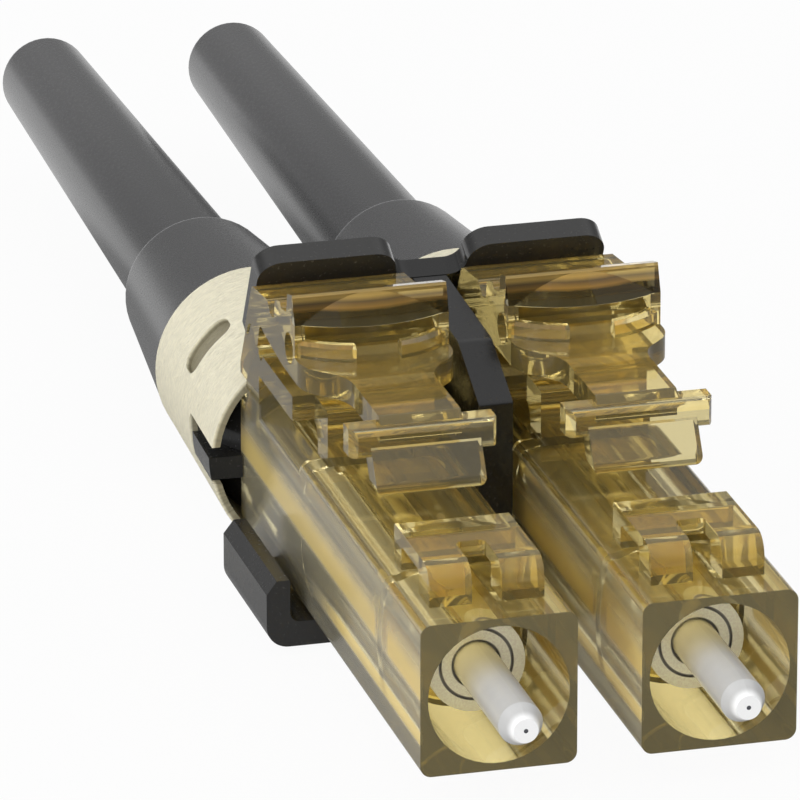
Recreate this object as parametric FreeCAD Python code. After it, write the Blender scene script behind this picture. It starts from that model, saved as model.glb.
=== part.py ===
import FreeCAD, Part
import math
import os

V = FreeCAD.Vector

# Working frame, mm: Y runs from the mating faces (0) to the boots, Z is 0 on the ferrule axes
# The finished pieces are moved so that the origin is the middle of the underside of the box round the part
PITCH = 6.25

# Lengths along Y that the pieces are set out from
BODY_LENGTH = 19.77
SLEEVE_LENGTH = 7.9
BOOT_COLLAR_LENGTH = 6.52
BOOT_TUBE_LENGTH = 21.28
LEVER_REACH = 11.65

# Housing: square body with bevelled rear top corners, stepped bore
BODY_SIDE = 4.42
BODY_HALF = BODY_SIDE / 2
BODY_ROUND = 0.32
BEVEL_LENGTH = 6.77
BEVEL_FRONT_Y = BODY_LENGTH - BEVEL_LENGTH
BEVEL_WIDE = 0.65
BEVEL_DEEP = 0.42
BEVEL_ROUND = 0.15
MOUTH_R = 2.0
SEAT_FRONT_Y = 4.2
SEAT_REAR_Y = 4.7
SEAT_GAP = 0.06
CHAMBER_GAP = 0.07
REAR_BORE_STEP = 0.07

# Key block on the roof of the housing
KEY_HALF = 1.62
KEY_FRONT_Y = 1.25
KEY_LENGTH = 3.65
KEY_REAR_Y = KEY_FRONT_Y + KEY_LENGTH
KEY_TOP_Z = BODY_HALF + 1.12
KEY_NOSE_R = 0.62
KEY_REAR_R = 0.12
KEY_SLOT_HALF = 0.42
KEY_SLOT_REAR_Y = KEY_FRONT_Y + 1.8
KEY_SLOT_R = 0.2
KEY_WINDOW_FRONT_Y = KEY_FRONT_Y + 1.1
KEY_WINDOW_REAR_Y = KEY_REAR_Y - 0.75
KEY_WINDOW_R = 0.15
KEY_ROOF = 0.42

# Post, plate and rear wall that carry the lever
ROOT_DEPTH = 0.2
WALL_REAR_Y = BODY_LENGTH
WALL_LENGTH = 2.17
WALL_FRONT_Y = WALL_REAR_Y - WALL_LENGTH
WALL_KNEE_Z = BODY_HALF + 0.6
WALL_TOP_Z = BODY_HALF + 1.74
WALL_LEAN = math.radians(28.2)
PLATE_LENGTH = 3.84
PLATE_FRONT_Y = WALL_FRONT_Y - PLATE_LENGTH
PLATE_TOP_Z = WALL_TOP_Z - 0.08
PLATE_THICK = 0.74
POST_HALF = 1.56
POST_FRONT_Y = PLATE_FRONT_Y - 1.46
POST_REAR_Y = PLATE_FRONT_Y - 0.36
WINDOW_ROUND = 0.6
PIVOT_Y = WALL_FRONT_Y + 0.75
PIVOT_Z = WALL_TOP_Z
PIVOT_R = 0.45
PIVOT_GAP = 0.04
GROOVE_R = 0.2

# Lever: nose, neck and lugs
NOSE_HALF = 1.58
NOSE_TIP_Y = PIVOT_Y - LEVER_REACH
NOSE_LOW_Z = BODY_HALF + 1.07
NOSE_THICK = 0.8
NOSE_ROUND = 0.25
NOSE_CORNER = 0.45
CREASE_Y = NOSE_TIP_Y + 0.8
CREASE_Z = NOSE_LOW_Z + 1.27
NECK_FRONT_Y = CREASE_Y + 0.7
NECK_HALF = 1.18
NECK_TOP_Z = CREASE_Z + 0.65
NECK_LOW_Z = NECK_TOP_Z - 0.72
NECK_SWEEP_R = 1.4
LUG_HALF = 2.12
LUG_LENGTH = 0.95
LUG_LOW_Z = NECK_LOW_Z - 0.28
LUG_TOP_Z = NECK_TOP_Z - 0.2
LUG_CHAMFER = 0.18
LUG_CHAMFER_LENGTH = 0.4
LUG_ROUND = 0.3

# Lever: pad, ribs, lip and foot
PAD_HALF = 2.25
RIB_REACH = 4.75
RIB_FRONT_Y = PIVOT_Y - RIB_REACH
RIB_TOP_Z = NECK_TOP_Z + 1.77
RIB_STEP_Y = 1.42
RIB_STEP_Z = 0.68
RIB_LAND = 0.55
RIB_DROP_Z = 0.62
PAD_FRONT_Y = RIB_FRONT_Y - 0.3
CREST_Y = RIB_FRONT_Y - 1.17
CREST_R = 3.1
NECK_END_Y = CREST_Y - 1.93
LIP_TOP_Z = NECK_TOP_Z + 0.48
LIP_NOTCH_HALF = 0.66
LIP_THICK = 0.4
LIP_BEVEL = 0.1
COVE_TOP_Z = LIP_TOP_Z + 0.47
COVE_REAR_Y = RIB_FRONT_Y + 0.4
COVE_WALL = 0.3
BROW_Y = RIB_FRONT_Y - 0.85
BROW_R = 4.2
BROW_LAP = 0.05
HUMP_TOP_Z = RIB_TOP_Z - 1.11
HUMP_FRONT_Y = RIB_FRONT_Y + 2 * RIB_STEP_Y
EYE_R = 0.46
EYE_Y = RIB_FRONT_Y + 0.37
EYE_Z = NECK_TOP_Z + 0.07
EYE_DEPTH = 0.28
UNDER_REAR_Z = NECK_LOW_Z + 0.24
UNDER_REAR_Y = PIVOT_Y - 1.15
FOOT_FRONT_Y = PIVOT_Y - 0.73
FOOT_GAP = 0.08

# Ferrule, flange, fibre, tube and spring
FERRULE_R = 0.625
FERRULE_TIP_Y = -2.65
FERRULE_LENGTH = 6.5
TIP_R = 0.35
TIP_LENGTH = 0.55
PRESS_START_Y = 2.45
PRESS_END_R = 0.6
FIBRE_R = 0.0625
FIBRE_GAP = 0.0015
FIBRE_END_Y = 5.4
FLANGE_R = 1.39
FLANGE_FRONT_Y = 2.3
FLANGE_STOP = 0.01
COLLAR_R = 1.88
COLLAR_LENGTH = 0.8
SOCKET_R = 0.7
SOCKET_DEPTH = 0.25
RING_R = 1.06
RING_WIDTH = 0.07
RING_DEPTH = 0.1
SPIGOT_R = 0.88
SPIGOT_LENGTH = 1.6
TUBE_R = 0.45
TUBE_BORE_R = 0.28
TUBE_GAP = 0.01
TUBE_START_Y = 4.6
SPRING_R = 1.08
WIRE_R = 0.13
WIRE_SIDES = 6
SPRING_TURNS = 7
SPRING_GAP = 0.02

# Metal sleeve
SLEEVE_LAP = 0.62
SLEEVE_FRONT_Y = BODY_LENGTH - SLEEVE_LAP
SLEEVE_REAR_Y = SLEEVE_FRONT_Y + SLEEVE_LENGTH
SLEEVE_FRONT_R = 3.26
SLEEVE_REAR_R = 3.0
SLEEVE_WALL = 0.24
SLEEVE_FLAT_GAP = 0.05
NOTCH_HALF = 0.57
NOTCH_Z = -0.13
NOTCH_LENGTH = 3.1
NOTCH_POINT = 0.35
SLOT_REACH = 4.35
SLOT_Y = SLEEVE_FRONT_Y + SLOT_REACH
SLOT_ANGLE = 139.0
SLOT_WIDTH = 1.15
SLOT_LENGTH = 1.88
SLOT_DEPTH = 0.19

# Rear body
STEM_FRONT_Y = BODY_LENGTH - 0.5
STEM_GAP = 0.02
STEM_BORE_R = 0.85
SHOULDER_FRONT_Y = BODY_LENGTH + 0.06
SHOULDER_FRONT_R = 2.2
SHOULDER_LEAD = 1.3
SHOULDER_LENGTH = 2.6
SHOULDER_REAR_Y = SHOULDER_FRONT_Y + SHOULDER_LENGTH
SHOULDER_GAP = 0.02
TAB_FRONT_Y = SLEEVE_FRONT_Y + 0.3
TAB_LENGTH = 2.3
TAB_HEIGHT = 0.68
TAB_GAP = 0.03
NECK_POST_R = 1.7
NECK_POST_END_Y = SLEEVE_REAR_Y - 0.85
BARB_COUNT = 5
BARB_DEPTH = 0.12
TUBE_END_Y = NECK_POST_END_Y - 1.2

# Boot
COLLAR_FRONT_R = 2.99
COLLAR_REAR_R = 2.37
BOOT_STEP_Y = SLEEVE_REAR_Y + BOOT_COLLAR_LENGTH
BOOT_END_Y = BOOT_STEP_Y + BOOT_TUBE_LENGTH
BOOT_ROOT_R = 1.91
BOOT_TIP_R = 1.44
BOOT_END_ROUND = 0.3
BOOT_OUTLET_R = 0.95
BOOT_OUTLET_LENGTH = 4.0
BOOT_CAVITY_R = 1.25
BOOT_SPIGOT_R = 2.6
BOOT_SPIGOT_LENGTH = 3.05
BOOT_SPIGOT_Y = SLEEVE_REAR_Y - BOOT_SPIGOT_LENGTH
BOOT_MOUTH_R = 1.84
BOOT_MOUTH_END_Y = SLEEVE_REAR_Y + 0.35
BOOT_GAP = 0.02
EDGE_SOFT = 0.06

# Duplex clip
CLIP_THICK = 0.69
CLIP_GAP = 0.15
CLIP_PLATE_LOW_Z = WALL_KNEE_Z + 0.61
HUMP_HALF = 2.06
HUMP_ROUND = 0.7
HUMP_HEIGHT = 2.93
HUMP_EDGE_Z = CLIP_PLATE_LOW_Z + HUMP_HEIGHT
VALLEY_Z = HUMP_EDGE_Z - 1.0
VALLEY_ROUND = 0.5
WEB_HALF = 0.5
WEB_FRONT_Y = BEVEL_FRONT_Y - 1.55
WEB_FRONT_Z = VALLEY_Z - 1.38
WEB_SLOPE_LENGTH = 2.25
WEB_KNEE_Y = WEB_FRONT_Y + WEB_SLOPE_LENGTH
WEB_KNEE_Z = VALLEY_Z - 0.25
WEB_REAR_Y = SLEEVE_FRONT_Y - 0.2
WEB_STEP_Z = BODY_HALF + 0.09
FLOOR_FRONT_Y = BEVEL_FRONT_Y - 1.0
FLOOR_LENGTH = 5.0
FLOOR_GAP = 0.05
FLOOR_THICK = 0.74
HOOK_OUTER = 3.44
HOOK_THICK = 0.69
HOOK_HEIGHT = 2.02
HOOK_BEVEL_X = 0.3
HOOK_BEVEL_Z = 0.39
HOOK_ROUND = 0.65
HOOK_INNER_ROUND = 0.3

CLIP_LOW_Z = -BODY_HALF - FLOOR_GAP - FLOOR_THICK
HOOK_TOP_Z = CLIP_LOW_Z + HOOK_HEIGHT
MIDDLE_Y = (FERRULE_TIP_Y + BOOT_END_Y) / 2
FERRULE_END_Y = FERRULE_TIP_Y + FERRULE_LENGTH
CHAMBER_R = COLLAR_R + CHAMBER_GAP
REAR_BORE_R = CHAMBER_R + REAR_BORE_STEP
COLLAR_FRONT_Y = SEAT_REAR_Y + FLANGE_STOP
COLLAR_REAR_Y = COLLAR_FRONT_Y + COLLAR_LENGTH


def outline(corners, place):
    """Face inside a closed line whose corners are (a, b, rounding radius)."""
    marks = []
    for i, (a, b, radius) in enumerate(corners):
        here = V(a, b, 0)
        back = V(corners[i - 1][0], corners[i - 1][1], 0) - here
        ahead = V(corners[(i + 1) % len(corners)][0], corners[(i + 1) % len(corners)][1], 0) - here
        back.normalize()
        ahead.normalize()
        if radius > 0:
            half = back.getAngle(ahead) / 2
            inward = back + ahead
            inward.normalize()
            reach = radius / math.tan(half)
            middle = here + inward * (radius / math.sin(half) - radius)
            marks.append((here + back * reach, middle, here + ahead * reach))
        else:
            marks.append((here, None, here))
    edges = []
    for i, (start, middle, end) in enumerate(marks):
        if middle is not None:
            edges.append(Part.Arc(place(start), place(middle), place(end)).toShape())
        after = marks[(i + 1) % len(marks)][0]
        if (after - end).Length > 1e-6:
            edges.append(Part.makeLine(place(end), place(after)))
    return Part.Face(Part.Wire(edges))


def side_slab(corners, half, middle=0.0):
    """Side profile given as (y, z, radius), as wide as half on both sides of x = middle."""
    face = outline(corners, lambda p: V(middle - half, p.x, p.y))
    return face.extrude(V(2 * half, 0, 0))


def front_slab(corners, y0, y1):
    """Front profile given as (x, z, radius), from y0 to y1."""
    return outline(corners, lambda p: V(p.x, y0, p.y)).extrude(V(0, y1 - y0, 0))


def plan_slab(corners, z0, z1):
    """Plan given as (x, y, radius), from z0 to z1."""
    return outline(corners, lambda p: V(p.x, p.y, z0)).extrude(V(0, 0, z1 - z0))


def block(x0, x1, y0, y1, z0, z1):
    return Part.makeBox(x1 - x0, y1 - y0, z1 - z0, V(x0, y0, z0))


def rod(radius, y0, y1):
    """Cylinder along Y on the ferrule axis."""
    return Part.makeCylinder(radius, y1 - y0, V(0, y0, 0), V(0, 1, 0))


def taper(r0, r1, y0, y1):
    return Part.makeCone(r0, r1, y1 - y0, V(0, y0, 0), V(0, 1, 0))


def cross_rod(radius, half, y, z):
    """Cylinder along X."""
    return Part.makeCylinder(radius, 2 * half, V(-half, y, z), V(1, 0, 0))


def square(half, radius):
    return [(-half, -half, radius), (half, -half, radius), (half, half, radius), (-half, half, radius)]


def lean_y(z):
    """Y of the leaning rear edge of the amber mouldings at height z."""
    return WALL_REAR_Y - (z - WALL_KNEE_Z) * math.tan(WALL_LEAN)


def key_block():
    corners = [
        (KEY_FRONT_Y, BODY_HALF - ROOT_DEPTH, 0),
        (KEY_FRONT_Y, KEY_TOP_Z, KEY_NOSE_R),
        (KEY_REAR_Y, KEY_TOP_Z, KEY_REAR_R),
        (KEY_REAR_Y, BODY_HALF - ROOT_DEPTH, 0),
    ]
    shape = side_slab(corners, KEY_HALF)
    window = [
        (KEY_WINDOW_FRONT_Y, BODY_HALF, 0),
        (KEY_WINDOW_REAR_Y, BODY_HALF, 0),
        (KEY_WINDOW_REAR_Y, KEY_TOP_Z - KEY_ROOF, KEY_WINDOW_R),
        (KEY_WINDOW_FRONT_Y, KEY_TOP_Z - KEY_ROOF, KEY_WINDOW_R),
    ]
    shape = shape.cut(side_slab(window, KEY_HALF + 1))
    slot = plan_slab([
        (-KEY_SLOT_HALF, 0, 0),
        (KEY_SLOT_HALF, 0, 0),
        (KEY_SLOT_HALF, KEY_SLOT_REAR_Y, KEY_SLOT_R),
        (-KEY_SLOT_HALF, KEY_SLOT_REAR_Y, KEY_SLOT_R),
    ], BODY_HALF, KEY_TOP_Z + 1)
    return shape.cut(slot)


def lever_stand():
    """Post, plate, rear wall and round pivot bead under the lever."""
    post = side_slab([
        (POST_FRONT_Y, BODY_HALF - ROOT_DEPTH, 0),
        (POST_FRONT_Y, PLATE_TOP_Z, 0.1),
        (PLATE_FRONT_Y + 1, PLATE_TOP_Z, 0),
        (PLATE_FRONT_Y + 1, PLATE_TOP_Z - PLATE_THICK, 0),
        (POST_REAR_Y, PLATE_TOP_Z - PLATE_THICK, WINDOW_ROUND),
        (POST_REAR_Y, BODY_HALF - ROOT_DEPTH, 0),
    ], POST_HALF)
    plate_end = WALL_FRONT_Y + 0.2
    plate = block(-BODY_HALF, BODY_HALF, PLATE_FRONT_Y, plate_end, PLATE_TOP_Z - PLATE_THICK, PLATE_TOP_Z)
    wall = side_slab([
        (WALL_FRONT_Y, BODY_HALF - BEVEL_DEEP - ROOT_DEPTH, 0),
        (WALL_FRONT_Y, WALL_TOP_Z, 0.08),
        (lean_y(WALL_TOP_Z), WALL_TOP_Z, 0.05),
        (WALL_REAR_Y, WALL_KNEE_Z, 0),
        (WALL_REAR_Y, BODY_HALF - BEVEL_DEEP - ROOT_DEPTH, 0),
    ], BODY_HALF)
    shape = post.fuse([plate, wall, cross_rod(PIVOT_R, BODY_HALF, PIVOT_Y, PIVOT_Z)])
    shape = shape.cut(cross_rod(GROOVE_R, BODY_HALF + 1, WALL_FRONT_Y - GROOVE_R, PLATE_TOP_Z))
    return shape.cut(rod(SLEEVE_FRONT_R + 0.06, SLEEVE_FRONT_Y - 0.08, WALL_REAR_Y + 1))


def housing():
    front = front_slab(square(BODY_HALF, BODY_ROUND), 0, BEVEL_FRONT_Y)
    rear = front_slab([
        (-BODY_HALF, -BODY_HALF, BODY_ROUND),
        (BODY_HALF, -BODY_HALF, BODY_ROUND),
        (BODY_HALF, BODY_HALF - BEVEL_DEEP, BEVEL_ROUND),
        (BODY_HALF - BEVEL_WIDE, BODY_HALF, BEVEL_ROUND),
        (-BODY_HALF + BEVEL_WIDE, BODY_HALF, BEVEL_ROUND),
        (-BODY_HALF, BODY_HALF - BEVEL_DEEP, BEVEL_ROUND),
    ], BEVEL_FRONT_Y, BODY_LENGTH)
    shape = front.fuse([rear, key_block(), lever_stand()])
    shape = shape.cut(rod(MOUTH_R, -1, SEAT_FRONT_Y))
    shape = shape.cut(rod(FLANGE_R + SEAT_GAP, 0, SEAT_REAR_Y + 1))
    shape = shape.cut(rod(CHAMBER_R, SEAT_REAR_Y, BODY_LENGTH + 1))
    shape = shape.cut(rod(REAR_BORE_R, BEVEL_FRONT_Y, BODY_LENGTH + 1))
    return shape.removeSplitter()


def neck_plan():
    """Plan of neck and pad front: an S-curve on both sides from the neck to the pad."""
    side = [
        (NECK_HALF, CREASE_Y + 0.2, 0),
        (NECK_HALF, NECK_END_Y + 0.85, NECK_SWEEP_R),
        (PAD_HALF, NECK_END_Y + 1.95, NECK_SWEEP_R),
        (PAD_HALF, COVE_REAR_Y + 0.5, 0),
    ]
    return side + [(-x, y, radius) for x, y, radius in reversed(side)]


def bowed(front_y, radius, z0, z1):
    """Solid as wide as the pad whose front is an arc in plan with its foremost point at front_y."""
    disc = Part.makeCylinder(radius, z1 - z0, V(0, front_y + radius, z0))
    return disc.common(block(-PAD_HALF, PAD_HALF, front_y - 1, COVE_REAR_Y + 1.2, z0, z1))


def lip_wall():
    """Low upstanding wall along the bowed front of the pad, with bevelled top edges and a notch."""
    wall = bowed(CREST_Y, CREST_R, NECK_TOP_Z - 0.3, LIP_TOP_Z)
    wall = wall.cut(bowed(CREST_Y + LIP_THICK, CREST_R - LIP_THICK, NECK_TOP_Z, LIP_TOP_Z + 1))
    rims = []
    for edge in wall.Edges:
        on_top = min(vertex.Z for vertex in edge.Vertexes) > LIP_TOP_Z - 1e-4
        if on_top and isinstance(edge.Curve, Part.Circle):
            rims.append(edge)
    wall = wall.makeChamfer(LIP_BEVEL, rims)
    notch = block(-LIP_NOTCH_HALF, LIP_NOTCH_HALF, CREST_Y - 1, COVE_REAR_Y, NECK_TOP_Z, LIP_TOP_Z + 1)
    return wall.cut(notch)


def brow():
    """Overhang in front of the foremost rib: a leaning surface that bows forwards towards its lower edge."""
    height = RIB_TOP_Z - COVE_TOP_Z
    lean = RIB_FRONT_Y - BROW_Y + BROW_LAP
    cone = Part.makeCone(BROW_R, BROW_R - lean, height, V(0, BROW_Y + BROW_R, COVE_TOP_Z))
    rear = RIB_FRONT_Y + BROW_LAP / 2
    return cone.common(block(-PAD_HALF, PAD_HALF, BROW_Y - 1, rear, COVE_TOP_Z, RIB_TOP_Z))


def pad_profile():
    """Side profile of the thumb pad with its ribs, humped rear end and pivot foot."""
    corners = [
        (PAD_FRONT_Y, NECK_LOW_Z, 0),
        (PAD_FRONT_Y, COVE_TOP_Z, 0),
        (RIB_FRONT_Y, RIB_TOP_Z, 0),
    ]
    for i in range(2):
        top = RIB_TOP_Z - i * RIB_STEP_Z
        front = RIB_FRONT_Y + i * RIB_STEP_Y
        floor = top - RIB_DROP_Z
        corners.append((front + RIB_LAND, top - 0.14, 0.08))
        corners.append((front + RIB_LAND + 0.1, floor - 0.1, 0.12))
        if i == 0:
            corners.append((front + RIB_STEP_Y - 0.15, floor - 0.2, 0.1))
            corners.append((front + RIB_STEP_Y - 0.05, top - RIB_STEP_Z + 0.05, 0.08))
    corners.append((HUMP_FRONT_Y - 0.4, HUMP_TOP_Z - 0.33, 0.1))
    corners.append((HUMP_FRONT_Y, HUMP_TOP_Z, 0.15))
    corners.append((lean_y(HUMP_TOP_Z - 0.2), HUMP_TOP_Z - 0.2, 0.25))
    corners.append((lean_y(PIVOT_Z + FOOT_GAP), PIVOT_Z + FOOT_GAP, 0.05))
    corners.append((FOOT_FRONT_Y, PIVOT_Z + FOOT_GAP, 0.05))
    corners.append((UNDER_REAR_Y + 0.1, UNDER_REAR_Z + 0.1, 0.25))
    corners.append((UNDER_REAR_Y - 0.4, UNDER_REAR_Z - 0.02, 0))
    corners.append((PAD_FRONT_Y + 1.4, NECK_LOW_Z, 0))
    return corners


def lever():
    nose = side_slab([
        (NOSE_TIP_Y, NOSE_LOW_Z, NOSE_ROUND),
        (CREASE_Y, CREASE_Z, 0),
        (CREASE_Y + NOSE_THICK, CREASE_Z, 0),
        (NOSE_TIP_Y + NOSE_THICK, NOSE_LOW_Z, NOSE_ROUND),
    ], NOSE_HALF)
    trim = front_slab([
        (-NOSE_HALF, NOSE_LOW_Z - 0.1, NOSE_CORNER),
        (NOSE_HALF, NOSE_LOW_Z - 0.1, NOSE_CORNER),
        (NOSE_HALF, CREASE_Z + 0.1, 0),
        (-NOSE_HALF, CREASE_Z + 0.1, 0),
    ], NOSE_TIP_Y - 1, CREASE_Y + NOSE_THICK + 1)
    nose = nose.common(trim)
    head = side_slab([
        (CREASE_Y, CREASE_Z, 0),
        (NECK_FRONT_Y, NECK_TOP_Z, 0.15),
        (NECK_FRONT_Y + 0.5, NECK_TOP_Z, 0),
        (NECK_FRONT_Y + 0.5, NECK_LOW_Z, 0.1),
        (CREASE_Y + 0.1, NECK_LOW_Z - 0.2, 0),
    ], NECK_HALF)
    lugs = plan_slab([
        (-LUG_HALF + LUG_CHAMFER, CREASE_Y, 0),
        (LUG_HALF - LUG_CHAMFER, CREASE_Y, 0),
        (LUG_HALF, CREASE_Y + LUG_CHAMFER_LENGTH, 0),
        (LUG_HALF, CREASE_Y + LUG_LENGTH, 0),
        (-LUG_HALF, CREASE_Y + LUG_LENGTH, 0),
        (-LUG_HALF, CREASE_Y + LUG_CHAMFER_LENGTH, 0),
    ], LUG_LOW_Z, LUG_TOP_Z)
    lug_round = side_slab([
        (CREASE_Y - 0.05, LUG_LOW_Z, LUG_ROUND),
        (CREASE_Y - 0.05, LUG_TOP_Z, LUG_ROUND),
        (CREASE_Y + LUG_LENGTH + 0.1, LUG_TOP_Z, 0),
        (CREASE_Y + LUG_LENGTH + 0.1, LUG_LOW_Z, 0),
    ], LUG_HALF + 1)
    neck = plan_slab(neck_plan(), NECK_LOW_Z, NECK_TOP_Z)
    neck = neck.cut(block(-PAD_HALF, PAD_HALF, 0, NECK_FRONT_Y + 0.1, 0, NECK_TOP_Z + 1))
    pad = side_slab(pad_profile(), PAD_HALF)
    inner = PAD_HALF - COVE_WALL
    cove = block(-inner, inner, 0, COVE_REAR_Y, NECK_TOP_Z, COVE_TOP_Z)
    shape = nose.fuse([head, lugs.common(lug_round), neck, pad.cut(cove), lip_wall(), brow()])
    eye = cross_rod(EYE_R, PAD_HALF + 1, EYE_Y, EYE_Z)
    shape = shape.cut(eye.cut(cross_rod(EYE_R + 1, PAD_HALF - EYE_DEPTH, EYE_Y, EYE_Z)))
    shape = shape.cut(cross_rod(PIVOT_R + PIVOT_GAP, PAD_HALF + 1, PIVOT_Y, PIVOT_Z))
    return shape.removeSplitter()


def pressed_end():
    """Slightly tapered rear end of the ferrule, and its seat in the flange."""
    return taper(FERRULE_R, PRESS_END_R, PRESS_START_Y, FERRULE_END_Y)


def ferrule():
    cone_end = FERRULE_TIP_Y + TIP_LENGTH
    shape = taper(TIP_R, FERRULE_R, FERRULE_TIP_Y, cone_end)
    shape = shape.fuse([rod(FERRULE_R, cone_end, PRESS_START_Y), pressed_end()])
    return shape.cut(rod(FIBRE_R + FIBRE_GAP, FERRULE_TIP_Y - 1, FERRULE_END_Y + 1))


def flange():
    shape = rod(FLANGE_R, FLANGE_FRONT_Y, COLLAR_FRONT_Y)
    shape = shape.fuse([rod(COLLAR_R, COLLAR_FRONT_Y, COLLAR_REAR_Y)])
    spigot_end = COLLAR_REAR_Y + SPIGOT_LENGTH
    shape = shape.fuse([rod(SPIGOT_R, COLLAR_REAR_Y, spigot_end)])
    shape = shape.cut(pressed_end())
    shape = shape.cut(rod(SOCKET_R, 0, FLANGE_FRONT_Y + SOCKET_DEPTH))
    groove = rod(RING_R, 0, FLANGE_FRONT_Y + RING_DEPTH).cut(rod(RING_R - RING_WIDTH, -1, TUBE_START_Y))
    shape = shape.cut(groove)
    shape = shape.cut(rod(TUBE_BORE_R, 0, spigot_end + 1))
    shape = shape.cut(rod(TUBE_R + TUBE_GAP, TUBE_START_Y, spigot_end + 1))
    return shape.removeSplitter()


def spring():
    """Coil between the flange collar and the stem of the rear body."""
    start = COLLAR_REAR_Y + WIRE_R + SPRING_GAP
    length = STEM_FRONT_Y - WIRE_R - SPRING_GAP - start
    helix = Part.makeHelix(length / SPRING_TURNS, length, SPRING_R)
    turns = [2 * math.pi * i / WIRE_SIDES for i in range(WIRE_SIDES + 1)]
    ring = [V(SPRING_R + WIRE_R * math.cos(a), 0, WIRE_R * math.sin(a)) for a in turns]
    coil = Part.Wire(helix).makePipeShell([Part.makePolygon(ring)], True, True)
    coil.rotate(V(0, 0, 0), V(1, 0, 0), -90)
    coil.translate(V(0, start, 0))
    return coil


def inner_tube():
    return rod(TUBE_R, TUBE_START_Y, TUBE_END_Y).cut(rod(TUBE_BORE_R, 0, TUBE_END_Y + 1))


def sleeve_r(y):
    """Outer radius of the metal sleeve at y."""
    share = (y - SLEEVE_FRONT_Y) / (SLEEVE_REAR_Y - SLEEVE_FRONT_Y)
    return SLEEVE_FRONT_R + share * (SLEEVE_REAR_R - SLEEVE_FRONT_R)


def rear_body():
    """Stem in the housing, shoulder in the sleeve, tab in the sleeve's notch and barbed post in the boot."""
    stem = rod(REAR_BORE_R - STEM_GAP, STEM_FRONT_Y, SHOULDER_FRONT_Y)
    inner = SLEEVE_WALL + SHOULDER_GAP
    seat_y = SHOULDER_FRONT_Y + SHOULDER_LEAD
    lead = taper(SHOULDER_FRONT_R, sleeve_r(seat_y) - inner, SHOULDER_FRONT_Y, seat_y)
    seat = taper(sleeve_r(seat_y) - inner, sleeve_r(SHOULDER_REAR_Y) - inner, seat_y, SHOULDER_REAR_Y)
    post = rod(NECK_POST_R, SHOULDER_REAR_Y, NECK_POST_END_Y)
    shape = stem.fuse([lead, seat, post])
    span = (NECK_POST_END_Y - SHOULDER_REAR_Y) / (BARB_COUNT + 1)
    for i in range(BARB_COUNT):
        y = SHOULDER_REAR_Y + span * (i + 1)
        band = rod(NECK_POST_R + 1, y - span / 4, y + span / 4)
        shape = shape.cut(band.cut(rod(NECK_POST_R - BARB_DEPTH, y - span, y + span)))
    shape = shape.cut(flat_cut(SHOULDER_FRONT_Y - 1, SHOULDER_REAR_Y + 1, SLEEVE_WALL + SLEEVE_FLAT_GAP))
    low = NOTCH_Z - NOTCH_HALF + TAB_GAP
    tab_end = TAB_FRONT_Y + TAB_LENGTH
    tab = block(-PITCH, -BODY_HALF - TAB_GAP, TAB_FRONT_Y, tab_end, low, low + TAB_HEIGHT)
    tab = tab.common(taper(sleeve_r(TAB_FRONT_Y), sleeve_r(tab_end), TAB_FRONT_Y, tab_end))
    shape = shape.fuse([tab])
    return shape.cut(rod(STEM_BORE_R, 0, BOOT_END_Y)).removeSplitter()


def flat_cut(y0, y1, depth):
    """Block beyond the flat that faces the other connector, for the one on the left."""
    return block(PITCH / 2 - depth, PITCH, y0, y1, -PITCH, PITCH)


def sleeve():
    shape = taper(SLEEVE_FRONT_R, SLEEVE_REAR_R, SLEEVE_FRONT_Y, SLEEVE_REAR_Y)
    shape = shape.cut(flat_cut(SLEEVE_FRONT_Y - 1, SLEEVE_REAR_Y + 1, SLEEVE_FLAT_GAP))
    inner = taper(SLEEVE_FRONT_R - SLEEVE_WALL, SLEEVE_REAR_R - SLEEVE_WALL, SLEEVE_FRONT_Y, SLEEVE_REAR_Y)
    inner = inner.cut(flat_cut(SLEEVE_FRONT_Y - 1, SLEEVE_REAR_Y + 1, SLEEVE_FLAT_GAP + SLEEVE_WALL))
    shape = shape.cut(inner)
    end = SLEEVE_FRONT_Y + NOTCH_LENGTH
    notch = outline([
        (SLEEVE_FRONT_Y - 1, -NOTCH_HALF, 0),
        (end - NOTCH_POINT, -NOTCH_HALF, 0.3),
        (end, NOTCH_HALF * 0.6, 0.2),
        (end - NOTCH_POINT * 0.4, NOTCH_HALF, 0.05),
        (SLEEVE_FRONT_Y - 1, NOTCH_HALF, 0),
    ], lambda p: V(-PITCH, p.x, NOTCH_Z + p.y)).extrude(V(PITCH, 0, 0))
    shape = shape.cut(notch)
    slot = outline([
        (SLOT_Y - SLOT_WIDTH / 2, -SLOT_LENGTH / 2, SLOT_WIDTH * 0.35),
        (SLOT_Y + SLOT_WIDTH / 2, -SLOT_LENGTH / 2, SLOT_WIDTH * 0.35),
        (SLOT_Y + SLOT_WIDTH / 2, SLOT_LENGTH / 2, SLOT_WIDTH * 0.35),
        (SLOT_Y - SLOT_WIDTH / 2, SLOT_LENGTH / 2, SLOT_WIDTH * 0.35),
    ], lambda p: V(0, p.x, p.y)).extrude(V(PITCH, 0, 0))
    slot = slot.cut(rod(sleeve_r(SLOT_Y) - SLOT_DEPTH, SLEEVE_FRONT_Y, SLEEVE_REAR_Y))
    slot.rotate(V(0, 0, 0), V(0, 1, 0), -SLOT_ANGLE)
    return shape.cut(slot)


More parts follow.
